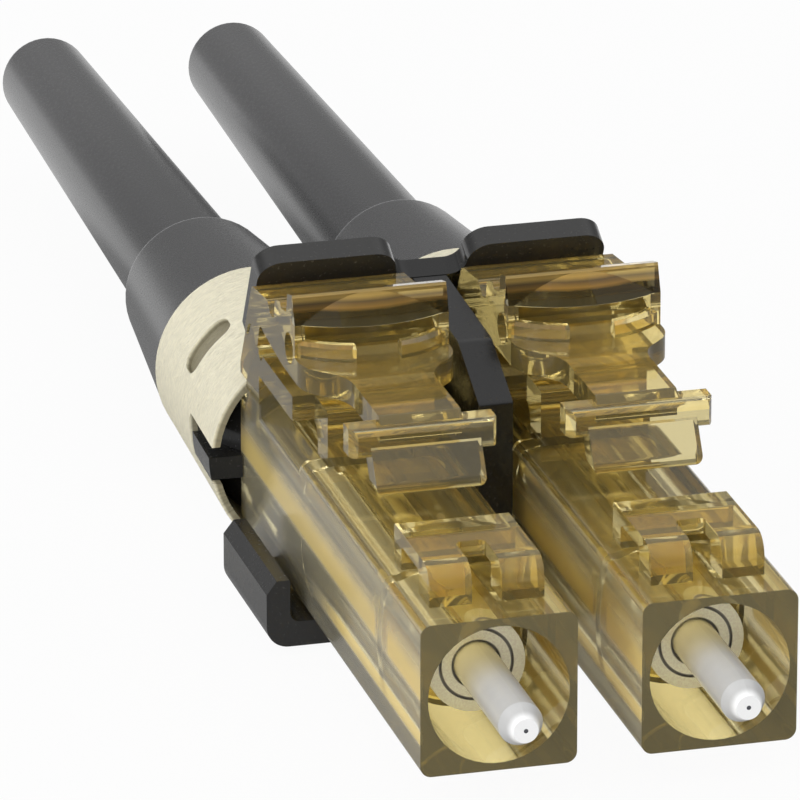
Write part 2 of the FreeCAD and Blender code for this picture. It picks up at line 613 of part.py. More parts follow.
def boot():
    """Turned body: collar, step and long tapering tube, over a spigot that fills the sleeve's rear end."""
    step = EDGE_SOFT
    bend = math.radians(45)
    rim = BOOT_TIP_R - BOOT_END_ROUND
    line = [
        (BOOT_MOUTH_R, BOOT_SPIGOT_Y),
        (BOOT_SPIGOT_R, BOOT_SPIGOT_Y),
        (BOOT_SPIGOT_R, SLEEVE_REAR_Y + BOOT_GAP),
        (COLLAR_FRONT_R, SLEEVE_REAR_Y + BOOT_GAP),
        (COLLAR_REAR_R, BOOT_STEP_Y - step),
        (COLLAR_REAR_R - step, BOOT_STEP_Y),
        (BOOT_ROOT_R, BOOT_STEP_Y),
        (BOOT_TIP_R, BOOT_END_Y - BOOT_END_ROUND),
        (rim, BOOT_END_Y),
        (BOOT_OUTLET_R, BOOT_END_Y),
        (BOOT_OUTLET_R, BOOT_END_Y - BOOT_OUTLET_LENGTH),
        (BOOT_CAVITY_R, BOOT_END_Y - BOOT_OUTLET_LENGTH - 1),
        (BOOT_CAVITY_R, BOOT_MOUTH_END_Y),
        (BOOT_MOUTH_R, BOOT_MOUTH_END_Y),
    ]
    points = [V(r, y, 0) for r, y in line]
    edges = []
    for i, start in enumerate(points):
        end = points[(i + 1) % len(points)]
        if line[i] == (BOOT_TIP_R, BOOT_END_Y - BOOT_END_ROUND):
            reach = BOOT_END_ROUND * math.sin(bend)
            middle = V(rim + reach, BOOT_END_Y - BOOT_END_ROUND + reach, 0)
            edges.append(Part.Arc(start, middle, end).toShape())
        else:
            edges.append(Part.makeLine(start, end))
    return Part.Face(Part.Wire(edges)).revolve(V(0, 0, 0), V(0, 1, 0), 360)


def hump_profile():
    """Front outline of the clip's leaning plate, two humps and the valley between them."""
    rise = (HUMP_EDGE_Z - CLIP_PLATE_LOW_Z) / math.cos(WALL_LEAN)
    valley = (VALLEY_Z - CLIP_PLATE_LOW_Z) / math.cos(WALL_LEAN)
    outer = PITCH / 2 + HUMP_HALF
    inner = PITCH / 2 - HUMP_HALF
    right = [
        (outer, 0, 0.2),
        (outer, rise, HUMP_ROUND),
        (inner, rise, HUMP_ROUND),
        (inner, valley, VALLEY_ROUND),
    ]
    return right + [(-x, z, radius) for x, z, radius in reversed(right)]


def duplex_clip():
    plate = front_slab(hump_profile(), 0, CLIP_THICK)
    plate.rotate(V(0, 0, 0), V(1, 0, 0), math.degrees(WALL_LEAN))
    plate.translate(V(0, lean_y(CLIP_PLATE_LOW_Z) + CLIP_GAP, CLIP_PLATE_LOW_Z))
    web = side_slab([
        (WEB_FRONT_Y, CLIP_LOW_Z, 0.1),
        (WEB_REAR_Y, CLIP_LOW_Z, 0.1),
        (WEB_REAR_Y, WEB_STEP_Z, 0.1),
        (WALL_REAR_Y, WEB_STEP_Z + 0.5, 0.1),
        (lean_y(CLIP_PLATE_LOW_Z) + CLIP_GAP + 0.3, CLIP_PLATE_LOW_Z + 0.1, 0),
        (lean_y(VALLEY_Z) + CLIP_GAP + 0.3, VALLEY_Z, 0),
        (WEB_KNEE_Y, WEB_KNEE_Z, 0.4),
        (WEB_FRONT_Y, WEB_FRONT_Z, 0.1),
    ], WEB_HALF)
    outer = PITCH / 2 + HOOK_OUTER
    inner = outer - HOOK_THICK
    floor_z = CLIP_LOW_Z + FLOOR_THICK
    right = [
        (outer, CLIP_LOW_Z, HOOK_ROUND),
        (outer, HOOK_TOP_Z - HOOK_BEVEL_Z, 0),
        (outer - HOOK_BEVEL_X, HOOK_TOP_Z, 0),
        (inner, HOOK_TOP_Z, 0.05),
        (inner, floor_z, HOOK_INNER_ROUND),
    ]
    left = [(-x, z, radius) for x, z, radius in reversed(right)]
    floor = front_slab(right + left, FLOOR_FRONT_Y, FLOOR_FRONT_Y + FLOOR_LENGTH)
    return plate.fuse([web, floor]).removeSplitter()


def export(shape, name):
    """Write one piece, moved from the working frame to the row's frame."""
    moved = shape.copy()
    moved.translate(V(0, -MIDDLE_Y, SLEEVE_FRONT_R))
    moved.exportStep("parts/" + name + ".step")


os.makedirs("parts", exist_ok=True)

PIECES = {
    "housing": housing(),
    "latch_lever": lever(),
    "ferrule": ferrule(),
    "ferrule_flange": flange(),
    "fibre_stub": rod(FIBRE_R, FERRULE_TIP_Y, FIBRE_END_Y),
    "inner_tube": inner_tube(),
    "ferrule_spring": spring(),
    "rear_body": rear_body(),
    "metal_sleeve": sleeve(),
    "boot": boot(),
}
ONE_SIDED = ("metal_sleeve", "rear_body")

for piece, shape in PIECES.items():
    left = shape.copy()
    left.translate(V(-PITCH / 2, 0, 0))
    right = shape.copy()
    if piece in ONE_SIDED:
        right = right.mirror(V(0, 0, 0), V(1, 0, 0))
    right.translate(V(PITCH / 2, 0, 0))
    export(left, "left_" + piece)
    export(right, "right_" + piece)

export(duplex_clip(), "duplex_clip")
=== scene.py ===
"""Looks for a duplex fibre plug: amber mouldings, dark boots and clip, sleeves, springs and the stage."""
import math
import bpy
from bpy.props import FloatProperty, FloatVectorProperty, IntProperty, PointerProperty
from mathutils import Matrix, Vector


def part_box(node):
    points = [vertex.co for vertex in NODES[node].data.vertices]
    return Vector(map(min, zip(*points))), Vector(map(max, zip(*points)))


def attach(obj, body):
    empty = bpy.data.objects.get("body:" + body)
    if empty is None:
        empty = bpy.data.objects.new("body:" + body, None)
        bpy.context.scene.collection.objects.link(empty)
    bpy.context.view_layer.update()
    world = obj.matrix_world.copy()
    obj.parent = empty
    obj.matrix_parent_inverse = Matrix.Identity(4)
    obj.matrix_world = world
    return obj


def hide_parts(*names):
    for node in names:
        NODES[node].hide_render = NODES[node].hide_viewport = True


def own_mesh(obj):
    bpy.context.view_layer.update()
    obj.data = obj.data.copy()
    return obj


bl_info = {
    "name": "Duplex fibre plug looks",
    "version": (1, 0, 0),
    "blender": (4, 5, 0),
    "location": "3D View > Sidebar > Fibre plug",
    "description": "Finishes, coil springs and stage for a duplex fibre plug",
    "category": "Object",
}

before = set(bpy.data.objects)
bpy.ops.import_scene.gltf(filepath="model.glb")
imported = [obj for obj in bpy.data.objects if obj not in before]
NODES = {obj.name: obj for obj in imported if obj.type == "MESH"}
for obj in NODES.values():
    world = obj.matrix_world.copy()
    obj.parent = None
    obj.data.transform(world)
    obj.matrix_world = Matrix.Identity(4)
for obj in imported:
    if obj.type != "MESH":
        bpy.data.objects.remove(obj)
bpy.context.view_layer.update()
SIDES = ("left", "right")
MM = 0.001
FERRULE_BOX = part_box("right_ferrule")
SLEEVE_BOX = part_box("right_metal_sleeve")
AXIS_X = (FERRULE_BOX[0].x + FERRULE_BOX[1].x) / 2
AXIS_Z = (FERRULE_BOX[0].z + FERRULE_BOX[1].z) / 2
FERRULE_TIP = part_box("right_fibre_stub")[0].y
MOUTH_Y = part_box("right_housing")[0].y

# Share of the way up the pad's leaning face, and the colour painted there: painted shade below and painted
# bands of refracted light above
BROW_PAINTED_BANDS = (
    (0.0, (0.055, 0.045, 0.022)),
    (0.4, (0.06, 0.048, 0.022)),
    (0.5, (0.45, 0.27, 0.08)),
    (0.66, (0.2, 0.14, 0.08)),
    (0.8, (0.75, 0.52, 0.17)),
    (1.0, (0.4, 0.3, 0.13)),
)

# Radius and half width of the painted shade rings in the flange's front grooves
FLANGE_SHADE_RINGS = ((0.64 * MM, 0.09 * MM), (1.025 * MM, 0.06 * MM))

# Values between which a noise pattern stays
NOISE_RANGE = (0.3, 0.7)

# Pattern scales, per metre
FLOW_SCALE = 900
WAVE_SCALE = 260
BOOT_CLOUD_SCALE = 400
BOOT_GRAIN_SCALE = 14000
CLIP_GRAIN_SCALE = 9000
RING_SCALE = 9000
SPECK_SCALE = 16000
CERAMIC_SCALE = 2500
GLASS_SCALE = 20000
TUBE_SCALE = 1500
FLOOR_SCALE = 60

# Heights of the moulded and turned textures
WAVE_HEIGHT = 0.002 * MM
BOOT_GRAIN_HEIGHT = 0.001 * MM
CLIP_GRAIN_HEIGHT = 0.003 * MM
BRUSH_HEIGHT = 0.12 * MM
RING_HEIGHT = 0.002 * MM

# Name, place, size and setting of each lamp
LAMPS = (
    ("key_lamp", (-0.285, -0.14, 0.17), 0.28, "key"),
    ("front_lamp", (-0.2, -0.3, 0.08), 0.25, "front"),
    ("fill_lamp", (0.2, -0.1, 0.2), 0.2, "fill"),
)
FLOOR_HALF = 1.2
CLIP_NEAR, CLIP_FAR = 0.01, 10


def colour(name, about, value):
    """Colour property in linear light."""
    return FloatVectorProperty(
        name=name, description=about, subtype="COLOR", size=3, min=0, max=1, default=value)


def length(name, about, value):
    """Length property, in metres."""
    return FloatProperty(
        name=name, description=about, subtype="DISTANCE", unit="LENGTH", precision=6, default=value)


def share(name, about, value):
    """Property between 0 and 1."""
    return FloatProperty(name=name, description=about, subtype="FACTOR", min=0, max=1, default=value)


class AmberLook(bpy.types.PropertyGroup):
    """Clear amber plastic of the housings and levers"""

    deep: colour("Depth colour", "Colour that a thick wall keeps", (0.7, 0.65, 0.4))
    density: FloatProperty(
        name="Density", description="How fast the plastic darkens, per metre", min=0, default=160)
    skin_colour: colour("Skin colour", "Tint that each skin of the plastic gives", (0.93, 0.77, 0.345))
    clear: share("Clearness", "Share of the light that passes the skin", 0.93)
    ior: FloatProperty(name="Index", description="Refractive index", min=1, max=2, default=1.5)
    gloss: share("Gloss", "Strength of the reflections, 0.5 for the index alone", 0.3)
    skin: share("Skin roughness", "Roughness of the moulded skin", 0.03)
    bore: share("Bore roughness", "Roughness of the matt chamber inside each housing", 0.08)
    bore_reach: length("Bore reach", "Distance from the ferrule axis that the chamber fills", 2.04 * MM)
    bore_start: length("Bore start", "Where the chamber begins along Y", -21.5 * MM)
    # Painted light: the bore's brighter gold stands for floor light passing through the housing's bottom
    bore_light_colour: colour("Bore colour", "Tint of the chamber's skin", (1.0, 0.86, 0.4))
    shade_start: length("Shade start", "Offset from the axis where the bore's right side darkens", 0.9 * MM)
    shade_fade: length("Shade fade", "Width over which that side darkens", 0.3 * MM)
    shade_colour: colour("Shade colour", "Tint of the chamber's right side", (0.62, 0.52, 0.26))
    flank: share("Flank roughness", "Roughness of the body's two sides", 0.14)
    flank_haze: share("Flank haze", "Share of clearness that the sides lack", 0.07)
    # The pale bands are painted light along the sides
    band_haze: share("Band haze", "More haze along the two pale bands of the sides", 0.41)
    band_low: length("Low band", "Height of the narrow pale band", 2.2 * MM)
    band_high: length("High band", "Height of the broad pale band's lower edge", 3.3 * MM)
    low_half: length("Low half", "Half the width of the narrow band", 0.12 * MM)
    low_blur: length("Low blur", "Distance from its middle where the narrow band ends", 0.32 * MM)
    low_full: length("Low full", "Where the narrow band starts to fade along Y", -18 * MM)
    low_gone: length("Low gone", "Where the narrow band has faded along Y", -13.5 * MM)
    high_blur: length("High blur", "How far the broad band's lower edge is blurred downwards", 0.15 * MM)
    high_full: length("High full", "Height above that edge where the broad band is fully there", 0.12 * MM)
    high_fall: length("High fall", "Height above that edge where the broad band starts to fade", 0.45 * MM)
    high_gone: length("High gone", "Height above that edge where the broad band has faded", 1.45 * MM)
    gap_half: length("Gap half", "Half the width of the gap in the broad band", 0.4 * MM)
    gap_blur: length("Gap blur", "Distance from its middle where the gap ends", 0.8 * MM)
    gap_keep: share("Gap keep", "How much of the broad band stays in the gap", 0.25)
    band_gap: length("Band gap", "Where the chamber's front interrupts the broad band along Y", -22 * MM)
    flank_reach: length("Flank reach", "Half the body's width, less a little", 2.15 * MM)
    flank_top: length("Flank top", "Height that the sides end at", 5.5 * MM)
    brow_front: length("Brow front", "Where the face of the thumb pad ends along Y", -12.47 * MM)
    brow_lip: length("Brow lip", "How far behind that front the shading without slope ends", 0.06 * MM)
    brow_lean: FloatProperty(
        name="Brow lean", description="Slope that the pad's leaning face is shaded without", default=1.6)
    brow_low: length("Brow low", "Lower edge of the pad's leaning face", 9.42 * MM)
    brow_high: length("Brow high", "Upper edge of the pad's leaning face", 10.23 * MM)
    brow_haze: share("Brow haze", "Share of clearness that the leaning face lacks", 0.5)
    # Painted light on the sides: a paler, greyer tint between the bands as a painted reflection, and a gold
    # tint for the painted light bands
    strip_reflection_colour: colour("Strip colour", "Tint of the sides between the pale bands", (0.92, 0.88, 0.7))
    strip_rear: share("Strip rear", "How much of that tint stays at the rear", 0.98)
    strip_front_y: length("Strip front end", "Where that tint starts to change along Y", -17 * MM)
    strip_rear_y: length("Strip rear end", "Where that tint has changed along Y", -12 * MM)
    light_band_colour: colour("Band colour", "Tint of the pale bands of the sides", (1.0, 0.77, 0.29))
    face_depth: length("Face depth", "How far the mouth's face reaches along Y", 0.03 * MM)
    # Painted shade: a darker tint over the face round the mouth
    face_shade_colour: colour("Face colour", "Tint of the face around the mouth", (0.27, 0.225, 0.105))
    face_haze: share("Face haze", "Share of clearness that the mouth's face lacks", 0.35)
    # Painted shade: a darker, greyer tint over the lever nose's leaning front
    nose_shade_colour: colour("Nose colour", "Tint of the front of the lever's nose", (0.585, 0.525, 0.33))
    nose_low: length("Nose low", "Height of the nose's lower edge", 6.54 * MM)
    nose_front: length("Nose front", "Where the nose's leaning front would meet that height", -19.39 * MM)
    nose_lean: FloatProperty(
        name="Nose lean", description="Run of the nose's front for its rise", default=0.62)
    nose_half: length("Nose half", "Distance from that leaning plane that the tint reaches", 0.12 * MM)


class DarkLook(bpy.types.PropertyGroup):
    """Black plastics and soft boots"""

    boot: colour("Boot colour", "Soft boot", (0.056, 0.056, 0.057))
    boot_roughness: share("Boot roughness", "Satin of the soft boot", 0.27)
    # Painted highlight: a paler line on the boot collar's rear rim
    rim_y: length("Rim place", "Where the collar's rear rim lies along Y", 7.43 * MM)
    rim_half: length("Rim width", "Half the width of the worn line on the rim", 0.06 * MM)
    rim_reach: length("Rim reach", "Distance from the axis beyond which the rim lies", 2.2 * MM)
    rim_glow: FloatProperty(
        name="Rim glow", description="How much paler the worn line is than the boot", min=1, default=8)
    far_start: length("Far start", "Where the boot starts to get paler along Y", 6 * MM)
    far_end: length("Far end", "Where the boot is at its palest along Y", 30 * MM)
    far_glow: FloatProperty(
        name="Far glow", description="How much paler the boot's rear end is", min=1, default=1.6)
    clip: colour("Clip colour", "Clip and rear bodies", (0.022, 0.0218, 0.0213))
    clip_roughness: share("Clip roughness", "Satin of the hard black plastic", 0.2)
    # Painted shade: the web between the two bodies is darkened
    web_half: length("Web reach", "Half the width of the web between the bodies", 0.92 * MM)
    web_top: length("Web top", "Height below which the web is at its darkest", 9 * MM)
    web_fade: length("Web fade", "Height over which the web darkens", 0.5 * MM)
    web_shade_keep: share("Web keep", "How much of the clip's colour stays on the web", 0.12)


class MetalLook(bpy.types.PropertyGroup):
    """Pale brushed sleeves, turned flanges and spring wire"""

    sleeve: colour("Sleeve colour", "Pale gold plate", (1.0, 0.94, 0.72))
    # Painted shade: darker colour on the slot floor and inside the sleeve
    recess_shade: colour("Recess colour", "Slot floor and the inside of the sleeve", (0.3, 0.27, 0.18))
    front_radius: length("Front radius", "Sleeve's outer radius at its front rim", 3.26 * MM)
    rear_radius: length("Rear radius", "Sleeve's outer radius at its rear rim", 3.0 * MM)
    wrap_radius: length("Wrap radius", "Radius on which the brush marks are laid", 3.1 * MM)
    sunk_start: length("Sunk start", "Depth where the slot's floor colour starts", 0.02 * MM)
    sunk_end: length("Sunk end", "Depth where the slot's floor colour is full", 0.12 * MM)
    brush_length: length("Brush length", "Length of a brush mark", 0.3 * MM)
    brush_width: length("Brush width", "Width of a brush mark", 0.07 * MM)
    flange: colour("Flange colour", "Turned nickel plate", (1.0, 0.95, 0.8))
    # Painted shade: dark rings in the flange's grooves
    groove_shade: colour("Groove colour", "Dark rings in the flange's front", (0.28, 0.265, 0.24))
    wire: colour("Wire colour", "Drawn spring wire", (0.72, 0.72, 0.68))


class SpringSizes(bpy.types.PropertyGroup):
    """Sizes of the coil behind each ferrule"""

    wire_radius: length("Wire radius", "Half the wire's thickness", 0.13 * MM)
    turns: FloatProperty(name="Turns", description="Turns from end to end", min=1, default=7)
    steps: IntProperty(name="Steps", description="Points on each turn", min=8, default=40)


class StageSetup(bpy.types.PropertyGroup):
    """Camera, lamps and floor"""

    aim: FloatVectorProperty(
        name="Aim", description="Point the camera looks at", subtype="TRANSLATION", unit="LENGTH", size=3,
        precision=6, default=(-0.489 * MM, -6.1 * MM, 4.308 * MM))
    azimuth: FloatProperty(
        name="Azimuth", description="Turn of the camera round the part", subtype="ANGLE", unit="ROTATION",
        default=math.radians(-15.16))
    elevation: FloatProperty(
        name="Elevation", description="Height angle of the camera", subtype="ANGLE", unit="ROTATION",
        default=math.radians(20.49))
    distance: length("Distance", "Camera to aim point", 255.5 * MM)
    lens: FloatProperty(
        name="Lens", description="Focal length, mm", subtype="DISTANCE_CAMERA", default=394.2)
    walls: FloatProperty(
        name="Walls", description="Strength of the surround at eye level", min=0, default=0.3)
    ceiling: FloatProperty(
        name="Ceiling", description="Strength of the surround overhead", min=0, default=0.95)
    dim_end: length("Dim end", "Where the floor starts to brighten along Y in shiny faces", 17 * MM)
    bright_start: length("Bright start", "Where the floor is at its brightest in shiny faces", 28 * MM)
    key: FloatProperty(
        name="Key lamp", description="Power of the key lamp", subtype="POWER", unit="POWER", default=0.58)
    front: FloatProperty(
        name="Front lamp", description="Power of the front lamp", subtype="POWER", unit="POWER",
        default=0.45)
    fill: FloatProperty(
        name="Fill lamp", description="Power of the fill lamp", subtype="POWER", unit="POWER", default=0.1)


class NodeSheet:
    """Small helper that adds linked nodes to one tree."""

    def __init__(self, tree):
        self.tree = tree
        tree.nodes.clear()

    def add(self, kind, settings=None, **inputs):
        """New node; settings are its own values, inputs its sockets by name, fed by values or outputs."""
        node = self.tree.nodes.new(kind)
        for key, value in (settings or {}).items():
            setattr(node, key, value)
        for key, value in inputs.items():
            self.feed(node.inputs[key.replace("_", " ")], value)
        return node

    def feed(self, socket, value):
        """Link an output to the socket, or set the socket's own value."""
        if isinstance(value, bpy.types.NodeSocket):
            self.tree.links.new(value, socket)
        else:
            socket.default_value = value

    def math(self, operation, first, second=0.0):
        """Result of one sum, product or comparison."""
        node = self.tree.nodes.new("ShaderNodeMath")
        node.operation = operation
        self.feed(node.inputs[0], first)
        self.feed(node.inputs[1], second)
        return node.outputs[0]

    def place(self):
        """Object coordinates."""
        return self.add("ShaderNodeTexCoord").outputs["Object"]

    def noise(self, vector, scale, detail, roughness=0.5, wander=0.0):
        """Cloudy pattern; wander bends its marks."""
        node = self.add("ShaderNodeTexNoise", Vector=vector, Scale=scale, Detail=detail, Roughness=roughness)
        self.feed(node.inputs["Distortion"], wander)
        return node.outputs["Fac"]

    def ramp(self, value, start, end, low=0.0, high=1.0):
        """Value mapped smoothly from start and end to low and high, and held beyond them."""
        node = self.add("ShaderNodeMapRange", {"interpolation_type": "SMOOTHSTEP"}, Value=value)
        for name, given in (("From Min", start), ("From Max", end), ("To Min", low), ("To Max", high)):
            self.feed(node.inputs[name], given)
        return node.outputs[0]

    def spread(self, value, low, high):
        """Noise value spread between low and high."""
        return self.ramp(value, *NOISE_RANGE, low, high)

    def bump(self, height, depth, strength):
        """Normal of a surface whose height, in units of depth, follows a pattern."""
        node = self.add("ShaderNodeBump", Height=height, Distance=depth, Strength=strength)
        return node.outputs["Normal"]

    def tint(self, factor, low, high):
        """Colour between low and high."""
        return self.blend(factor, (*low, 1), (*high, 1))

    def blend(self, factor, first, second):
        """Mix of two colours, each a value or another node's output."""
        node = self.add("ShaderNodeMix", {"data_type": "RGBA"})
        self.feed(node.inputs["Factor"], factor)
        self.feed(node.inputs[6], first)
        self.feed(node.inputs[7], second)
        return node.outputs[2]

    def finish(self, **inputs):
        """Principled shader and output."""
        shader = self.add("ShaderNodeBsdfPrincipled", **inputs)
        self.out = self.add("ShaderNodeOutputMaterial", Surface=shader.outputs["BSDF"])


def scaled(rgb, factor):
    """Colour made brighter or darker, held at white."""
    return tuple(min(1.0, c * factor) for c in rgb)


def sheet(name):
    """New material and the helper for its node tree."""
    material = bpy.data.materials.new(name)
    material.use_nodes = True
    return material, NodeSheet(material.node_tree)


def axis_reach(s, parts):
    """Distance from the nearer ferrule axis."""
    off_x = s.math("SUBTRACT", s.math("ABSOLUTE", parts["X"]), AXIS_X)
    off_z = s.math("SUBTRACT", parts["Z"], AXIS_Z)
    return s.math("SQRT", s.math("ADD", s.math("MULTIPLY", off_x, off_x), s.math("MULTIPLY", off_z, off_z)))


def brow_face(s, parts, look):
    """Where the pad's leaning face lies, and its painted colour in bowed bands: painted shade below and
    painted gold light above.
    """
    rise = s.math("DIVIDE", s.math("SUBTRACT", parts["Z"], look.brow_low), look.brow_high - look.brow_low)
    bands = s.add("ShaderNodeValToRGB", Fac=rise)
    stops = bands.color_ramp.elements
    while len(stops) < len(BROW_PAINTED_BANDS):
        stops.new(0.5)
    for stop, (position, rgb) in zip(stops, BROW_PAINTED_BANDS):
        stop.position = position
        stop.color = (*rgb, 1)
    front = s.math("LESS_THAN", parts["Y"], look.brow_front)
    return s.math("MULTIPLY", front, s.math("GREATER_THAN", rise, 0)), bands.outputs["Color"]


def nose_face(s, parts, look):
    """Where the leaning front of each lever's nose lies."""
    rise = s.math("SUBTRACT", parts["Z"], look.nose_low)
    plane = s.math("ADD", s.math("MULTIPLY", rise, look.nose_lean), look.nose_front)
    off_plane = s.math("ABSOLUTE", s.math("SUBTRACT", parts["Y"], plane))
    near = s.math("LESS_THAN", off_plane, look.nose_half)
    return s.math("MULTIPLY", near, s.math("GREATER_THAN", rise, 0))


def side_light_bands(s, parts, look):
    """Two painted light bands along the body's sides, a narrow one below and a broad one above."""
    from_low = s.math("ABSOLUTE", s.math("SUBTRACT", parts["Z"], look.band_low))
    above = s.math("SUBTRACT", parts["Z"], look.band_high)
    rising = s.ramp(above, -look.high_blur, look.high_full)
    falling = s.ramp(above, look.high_fall, look.high_gone, 1, 0)
    from_gap = s.math("ABSOLUTE", s.math("SUBTRACT", parts["Y"], look.band_gap))
    gap = s.ramp(from_gap, look.gap_half, look.gap_blur, look.gap_keep, 1)
    broad = s.math("MULTIPLY", s.math("MULTIPLY", rising, falling), gap)
    fade = s.ramp(parts["Y"], look.low_full, look.low_gone, 1, 0)
    narrow = s.math("MULTIPLY", s.ramp(from_low, look.low_half, look.low_blur, 1, 0), fade)
    return s.math("ADD", narrow, broad)


def amber_plastic(look):
    """Clear moulding: faint flow marks in the skin, colour from its depth, and painted light and shade by
    place: a brighter painted-light bore with a painted-shade right side, painted light bands and a painted
    reflection tint on the sides, painted shade on the mouth's face and the nose fronts, and painted shade
    and light bands on the pad's leaning face.
    """
    material, s = sheet("amber_plastic")
    place = s.place()
    flow = s.noise(place, FLOW_SCALE, 2)
    parts = s.add("ShaderNodeSeparateXYZ", Vector=place).outputs
    near = s.math("LESS_THAN", axis_reach(s, parts), look.bore_reach)
    inside = s.math("MULTIPLY", near, s.math("GREATER_THAN", parts["Y"], look.bore_start))
    off_axis = s.math("ABSOLUTE", parts["X"])
    off_x = s.math("ABSOLUTE", s.math("SUBTRACT", off_axis, AXIS_X))
    low_side = s.math("LESS_THAN", parts["Z"], look.flank_top)
    flank = s.math("MULTIPLY", low_side, s.math("GREATER_THAN", off_x, look.flank_reach))
    skin = s.spread(flow, look.skin * 0.6, look.skin * 1.6)
    matt = s.math("ADD", s.math("MULTIPLY", inside, look.bore), s.math("MULTIPLY", flank, look.flank))
    skin_colour = s.tint(flow, scaled(look.skin_colour, 0.95), scaled(look.skin_colour, 1.05))
    # Painted light: a brighter gold tint over the whole bore
    skin_colour = s.blend(near, skin_colour, (*look.bore_light_colour, 1))
    to_right = s.math("MULTIPLY", s.math("SIGN", parts["X"]), s.math("SUBTRACT", off_axis, AXIS_X))
    shade_end = look.shade_start + look.shade_fade
    shaded = s.math("MULTIPLY", near, s.ramp(to_right, look.shade_start, shade_end))
    skin_colour = s.blend(shaded, skin_colour, (*look.shade_colour, 1))
    # Painted light bands and a painted reflection tint on the sides
    banded = side_light_bands(s, parts, look)
    strip_rear = (*scaled(look.strip_reflection_colour, look.strip_rear), 1)
    to_rear = s.ramp(parts["Y"], look.strip_front_y, look.strip_rear_y)
    strip = s.blend(to_rear, (*look.strip_reflection_colour, 1), strip_rear)
    side_colour = s.blend(banded, strip, (*look.light_band_colour, 1))
    skin_colour = s.blend(flank, skin_colour, side_colour)
    # Painted shade over the face round the mouth
    face = s.math("LESS_THAN", parts["Y"], MOUTH_Y + look.face_depth)
    skin_colour = s.blend(face, skin_colour, (*look.face_shade_colour, 1))
    # Painted shade on the lever nose's leaning front
    skin_colour = s.blend(nose_face(s, parts, look), skin_colour, (*look.nose_shade_colour, 1))
    # Painted shade and painted light bands on the pad's leaning face
    brow, bands = brow_face(s, parts, look)
    bands_haze = s.math("MULTIPLY", banded, look.band_haze)
    flank_haze = s.math("MULTIPLY", flank, s.math("ADD", bands_haze, look.flank_haze))
    haze = s.math("ADD", flank_haze, s.math("MULTIPLY", brow, look.brow_haze))
    haze = s.math("MAXIMUM", haze, s.math("MULTIPLY", face, look.face_haze))
    rise = s.math("MULTIPLY", s.math("SUBTRACT", parts["Z"], look.brow_low), look.brow_lean)
    leaning = s.math("LESS_THAN", parts["Y"], look.brow_front - look.brow_lip)
    upright = s.math("MULTIPLY", s.math("MULTIPLY", brow, leaning), rise)
    wave = s.math("MULTIPLY", s.noise(place, WAVE_SCALE, 1), WAVE_HEIGHT)
    s.finish(
        Base_Color=s.blend(brow, skin_colour, bands),
        Roughness=s.math("ADD", skin, matt),
        IOR=look.ior,
        Specular_IOR_Level=look.gloss,
        Transmission_Weight=s.math("SUBTRACT", look.clear, haze),
        Normal=s.bump(s.math("ADD", wave, upright), 1.0, 1.0))
    depth = s.add("ShaderNodeVolumeAbsorption", Color=(*look.deep, 1), Density=look.density)
    s.feed(s.out.inputs["Volume"], depth.outputs[0])
    return material


def soft_rubber(look):
    """Satin boot with a fine moulded grain and a painted highlight line on the collar's rear rim."""
    material, s = sheet("soft_rubber")
    place = s.place()
    parts = s.add("ShaderNodeSeparateXYZ", Vector=place).outputs
    cloud = s.noise(place, BOOT_CLOUD_SCALE, 3)
    grain = s.noise(place, BOOT_GRAIN_SCALE, 2)
    # Painted highlight along the collar's rear rim
    from_rim = s.math("ABSOLUTE", s.math("SUBTRACT", parts["Y"], look.rim_y))
    outer = s.math("GREATER_THAN", axis_reach(s, parts), look.rim_reach)
    rim_highlight = s.math("MULTIPLY", outer, s.ramp(from_rim, look.rim_half * 0.5, look.rim_half, 1, 0))
    rubber = s.tint(cloud, scaled(look.boot, 0.95), scaled(look.boot, 1.05))
    far = s.ramp(parts["Y"], look.far_start, look.far_end)
    rubber = s.blend(far, rubber, (*scaled(look.boot, look.far_glow), 1))
    s.finish(
        Base_Color=s.blend(rim_highlight, rubber, (*scaled(look.boot, look.rim_glow), 1)),
        Roughness=s.spread(grain, look.boot_roughness - 0.01, look.boot_roughness + 0.01),
        Normal=s.bump(grain, BOOT_GRAIN_HEIGHT, 0.1))
    return material


def black_moulding(look):
    """Hard black plastic with a faint spark-eroded texture, and painted shade on the web between the two
    bodies.
    """
    material, s = sheet("black_moulding")
    place = s.place()
    parts = s.add("ShaderNodeSeparateXYZ", Vector=place).outputs
    grain = s.noise(place, CLIP_GRAIN_SCALE, 4, 0.6)
    # Painted shade on the web between the two bodies, darkest low down
    middle = s.math("LESS_THAN", s.math("ABSOLUTE", parts["X"]), look.web_half)
    below = s.ramp(parts["Z"], look.web_top, look.web_top + look.web_fade, 1, 0)
    web = s.math("MULTIPLY", middle, below)
    plain = s.tint(grain, scaled(look.clip, 0.8), scaled(look.clip, 1.25))
    s.finish(
        Base_Color=s.blend(web, plain, (*scaled(look.clip, look.web_shade_keep), 1)),
        Roughness=s.spread(grain, look.clip_roughness - 0.05, look.clip_roughness + 0.08),
        Normal=s.bump(grain, CLIP_GRAIN_HEIGHT, 0.3))
    return material


def wrapped_place(s, radius):
    """Place on the nearer connector's round surface of that radius: (arc length, run along Y)."""
    parts = s.add("ShaderNodeSeparateXYZ", Vector=s.place())
    out = s.math("SUBTRACT", s.math("ABSOLUTE", parts.outputs["X"]), AXIS_X)
    up = s.math("SUBTRACT", parts.outputs["Z"], AXIS_Z)
    arc = s.math("MULTIPLY", s.math("ARCTAN2", out, up), radius)
    return s.add("ShaderNodeCombineXYZ", X=arc, Y=parts.outputs["Y"]).outputs[0]


